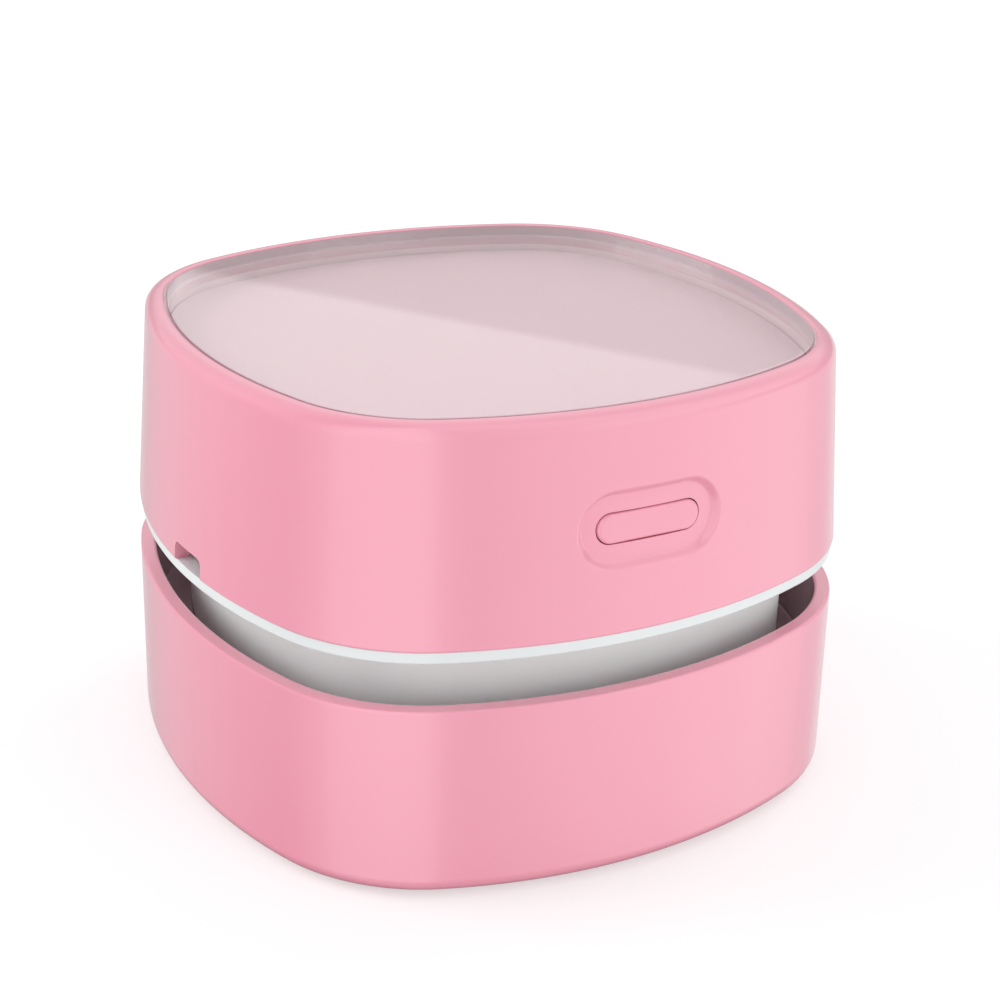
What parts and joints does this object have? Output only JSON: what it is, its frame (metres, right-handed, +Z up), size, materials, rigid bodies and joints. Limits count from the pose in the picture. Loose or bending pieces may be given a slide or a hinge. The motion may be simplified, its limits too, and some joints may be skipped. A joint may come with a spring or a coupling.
{
  "type": "desktop mini vacuum cleaner",
  "caption": "Palm-sized square-round desk vacuum: dust bin with brushed inlet, lift-off motor head with clear top, pill power button, push-on filter and centrifugal fan.",
  "frame": {"origin": "middle of the footprint on the surface that the cleaner stands on", "axes": "+Z up through the clear top; -Y towards the power button; -X towards the charging port"},
  "size_m": [0.0868, 0.0868, 0.0585],
  "materials": {
    "casing_pink": "satin moulded plastic, pink",
    "trim_white": "glossy off-white plastic",
    "neck_grey": "satin moulded plastic, light grey",
    "inner_grey": "moulded plastic, dark grey",
    "clear_acrylic": "clear acrylic sheet, polished",
    "plate_pale": "pale pink satin sheet",
    "bristle_nylon": "white nylon bristle",
    "soft_rubber": "soft black rubber",
    "felt_pad": "grey felt",
    "filter_felt": "white non-woven felt",
    "screw_steel": "zinc-plated steel",
    "motor_steel": "bright rolled steel",
    "bearing_bronze": "sintered bronze",
    "magnet_ferrite": "dark ferrite",
    "contact_brass": "brass",
    "cell_sleeve": "shrink sleeve, blue",
    "board_green": "glass-epoxy board with green mask",
    "chip_black": "moulded chip packages",
    "port_steel": "tinned steel shell",
    "wire_red": "PVC insulation, red",
    "wire_black": "PVC insulation, black"
  },
  "bodies": {
    "bin": {"lower_shell": "casing_pink", "base_plate": "inner_grey", "base_screws": "screw_steel", "brush_strip": "inner_grey", "bristle_tufts": "bristle_nylon", "glide_pads": "felt_pad"},
    "head": {"upper_shell": "casing_pink", "clear_panel": "clear_acrylic", "deck_plate": "plate_pale", "trim_band": "trim_white", "neck_frame": "neck_grey", "neck_seal": "soft_rubber", "chassis_screws": "screw_steel", "fan_cover": "neck_grey", "cover_screws": "screw_steel", "motor_can": "motor_steel", "front_bearing": "bearing_bronze", "motor_magnets": "magnet_ferrite", "motor_end_cap": "trim_white", "motor_terminals": "contact_brass", "motor_screws": "screw_steel", "battery_cradle": "inner_grey", "battery_cell": "cell_sleeve", "circuit_board": "board_green", "board_screws": "screw_steel", "board_components": "chip_black", "charging_socket": "port_steel", "switch_body": "chip_black", "switch_board": "board_green", "motor_lead_red": "wire_red", "motor_lead_black": "wire_black", "cell_lead_red": "wire_red", "cell_lead_black": "wire_black", "switch_leads": "wire_black"},
    "power_button": {"power_button": "casing_pink", "switch_plunger": "chip_black"},
    "rotor": {"motor_shaft": "motor_steel", "motor_armature": "motor_steel", "commutator": "contact_brass", "impeller": "trim_white"},
    "filter": {"filter_holder": "trim_white", "filter_felt": "filter_felt"}
  },
  "joints": [
    {"name": "head_lift", "type": "slide", "parent": "bin", "child": "head", "axis": [0, 0, 1], "range_m": [0, 0.03]},
    {"name": "button_press", "type": "slide", "parent": "head", "child": "power_button", "axis": [0, 1, 0], "range_m": [0, 0.001], "stiffness_N_per_m": 400},
    {"name": "fan_spin", "type": "hinge", "parent": "head", "child": "rotor", "pos_m": [0, 0, 0.024], "axis": [0, 0, 1], "continuous": true},
    {"name": "filter_pull", "type": "slide", "parent": "head", "child": "filter", "axis": [0, 0, -1], "range_m": [0, 0.004]}
  ]
}
